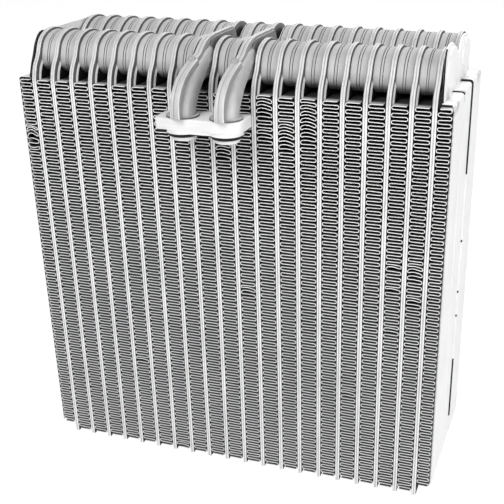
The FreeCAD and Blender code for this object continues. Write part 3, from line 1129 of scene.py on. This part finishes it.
def blockBody(values):
    # The block's slab, over a foot a little smaller all round that is dark as painted shade.
    bodyLow = values["low"] + values["undercut"]
    outline = values["outline"]
    corners = roundedOutline(values, outline, bodyLow)
    up = (0, 0, (blockTop - bodyLow) * mm)
    body = slabPiece("body", corners, up, values["edge"], segments=3)
    dress(body, metals["block"])
    push = values["undercutIn"]
    inner = [(x + math.copysign(push, -x), y + math.copysign(push, values["middleY"] - y))
             for x, y in outline]
    corners = roundedOutline(values, inner, values["low"])
    foot = slabPiece("foot", corners, (0, 0, (values["undercut"] + values["lap"]) * mm))
    dress(foot, rubberAndShade)
    return [body, foot]


def bossWeb(values):
    # The web between the two bosses, with a dark sheet under it as painted shade.
    across, nearY, farY, low = values["web"]
    square = ((-across, nearY), (across, nearY), (across, farY), (-across, farY))
    top = values["low"] + values["undercut"] + values["lap"]
    web = slabPiece("web", [spot(x, y, low) for x, y in square], (0, 0, (top - low) * mm))
    dress(web, metals["block"])
    push = values["undercutIn"]
    line = [spot(x, y + math.copysign(push, values["middleY"] - y), low - values["webShade"])
            for x, y in square]
    thick = values["webShade"] + values["webShadeLap"]
    edge = slabPiece("edge", line, (0, 0, thick * mm))
    dress(edge, rubberAndShade)
    return [web, edge]


def portForms(values, x):
    # A boss under the block and the spigot in it, with the groove for its seal.
    bore, groove, steps = values["bore"], values["groove"], values["roundSteps"]
    wide, root, low = values["boss"], values["bossRoot"], values["bossLow"]
    stepIn, stepLow, stepHigh = values["bossStep"]
    neck = wide - stepIn
    boss = turned("lobe", x, steps, [
        (groove, root), (wide, root), (wide, low + stepHigh), (neck, low + stepLow),
        (neck, low), (groove, low)])
    dress(boss, metals["block"])
    # Painted shade round the boss's lowest band.
    shadeTop = (low + values["bossShade"]) * mm
    tint(boss, rubberAndShade, lambda middle, way: middle.z < shadeTop)
    radius, root, tip = values["spigot"], values["low"], values["spigotLow"]
    lip = tip + values["lip"]
    lipEase, tipEase = values["lipEase"], values["spigotEase"]
    spigot = turned("spigot", x, steps, [
        (bore, root), (groove, root), (groove, lip), (radius - lipEase, lip),
        (radius, lip - lipEase), (radius, tip + tipEase), (radius - tipEase, tip), (bore, tip)])
    dress(spigot, metals["block"])
    return [boss, spigot]


def ringSeal(values, name, x):
    lip = values["spigotLow"] + values["lip"]
    place = spot(x, pipeAxis, (lip + values["bossLow"]) / 2)
    clearSelection()
    bpy.ops.mesh.primitive_torus_add(
        location=place, major_radius=(values["groove"] + values["ring"]) * mm,
        minor_radius=values["ring"] * mm, major_segments=values["roundSteps"],
        minor_segments=values["ringSteps"])
    ring = bpy.context.object
    ring.name = name + "Seal"
    bpy.ops.object.transform_apply(location=True, rotation=True, scale=True)
    editAll(ring)
    bpy.ops.transform.resize(value=(1, 1, values["flat"]), center_override=place)
    leaveEdit()
    smoothBy(ring, angle=60)
    dress(ring, rubberAndShade)
    settle(ring, "seals", "seal_" + name)


def makeBlock(values):
    forms = blockBody(values) + bossWeb(values)
    for name, x in ports:
        forms += portForms(values, x)
    block = joined("connectorBlock", forms)
    smoothBy(block, angle=40)
    settle(block, "block", "connector_block")
    for name, x in ports:
        ringSeal(values, name, x)


makeBlock(blockSet)
print("core: block made")


# Floor, light and background

stageSet = {
    "floorSize": 6.0,
    "floorTone": 0.9,
    "whiteShare": 0.92,
    "glow": 1.06,
    "worldLight": 0.09,
    "aim": (0, 0, 0.12),
    # place, size and power
    "lamps": (
        ((-0.2, -1.22, 1.3), 0.8, 18.0),
        ((0.25, -1.35, 0.1), 0.6, 2.8),
        ((1.5, -0.6, 0.7), 0.9, 13.3),
        ((0.1, 1.3, 1.2), 1.0, 15.0),
    ),
}


def backgroundRay(finish):
    # The white ground is for the camera and for what glossy faces reflect; it lights nothing.
    path = finish.node("ShaderNodeLightPath")
    kinds = ("Is Camera Ray", "Is Glossy Ray", "Is Transmission Ray")
    seen, glossy, through = [Wire(finish, path.socket.node.outputs[kind]) for kind in kinds]
    return path.sum("MAXIMUM", path.sum("MAXIMUM", seen, glossy), through)


def addFloor(values):
    clearSelection()
    bpy.ops.mesh.primitive_plane_add(size=values["floorSize"], location=(0, 0, 0))
    floor = bpy.context.object
    floor.name = "floor"
    finish = Finish("floorWhite")
    share = backgroundRay(finish) * values["whiteShare"]
    matt = finish.node("ShaderNodeBsdfDiffuse", values={"Color": grey(values["floorTone"])})
    white = finish.node("ShaderNodeEmission",
                        values={"Color": grey(1.0), "Strength": values["glow"]})
    mixed = finish.node("ShaderNodeMixShader", values={0: share, 1: matt, 2: white})
    dress(floor, finish.close(mixed))


def addSky(values):
    sky = Finish("studio", world=True)
    glow = backgroundRay(sky) * (1.0 - values["worldLight"]) + values["worldLight"]
    back = sky.node("ShaderNodeBackground", values={"Color": grey(1.0), "Strength": glow})
    bpy.context.scene.world = sky.close(back)


def addLamp(aim, place, size, power):
    lamp = bpy.data.lights.new("softbox", "AREA")
    lamp.size = size
    lamp.energy = power
    holder = bpy.data.objects.new("softbox", lamp)
    bpy.context.scene.collection.objects.link(holder)
    holder.location = place
    way = Vector(aim) - Vector(place)
    holder.rotation_euler = way.to_track_quat("-Z", "Y").to_euler()


addFloor(stageSet)
addSky(stageSet)
for lampValues in stageSet["lamps"]:
    addLamp(stageSet["aim"], *lampValues)
bpy.context.scene.view_settings.view_transform = "Standard"
print("core: stage made")
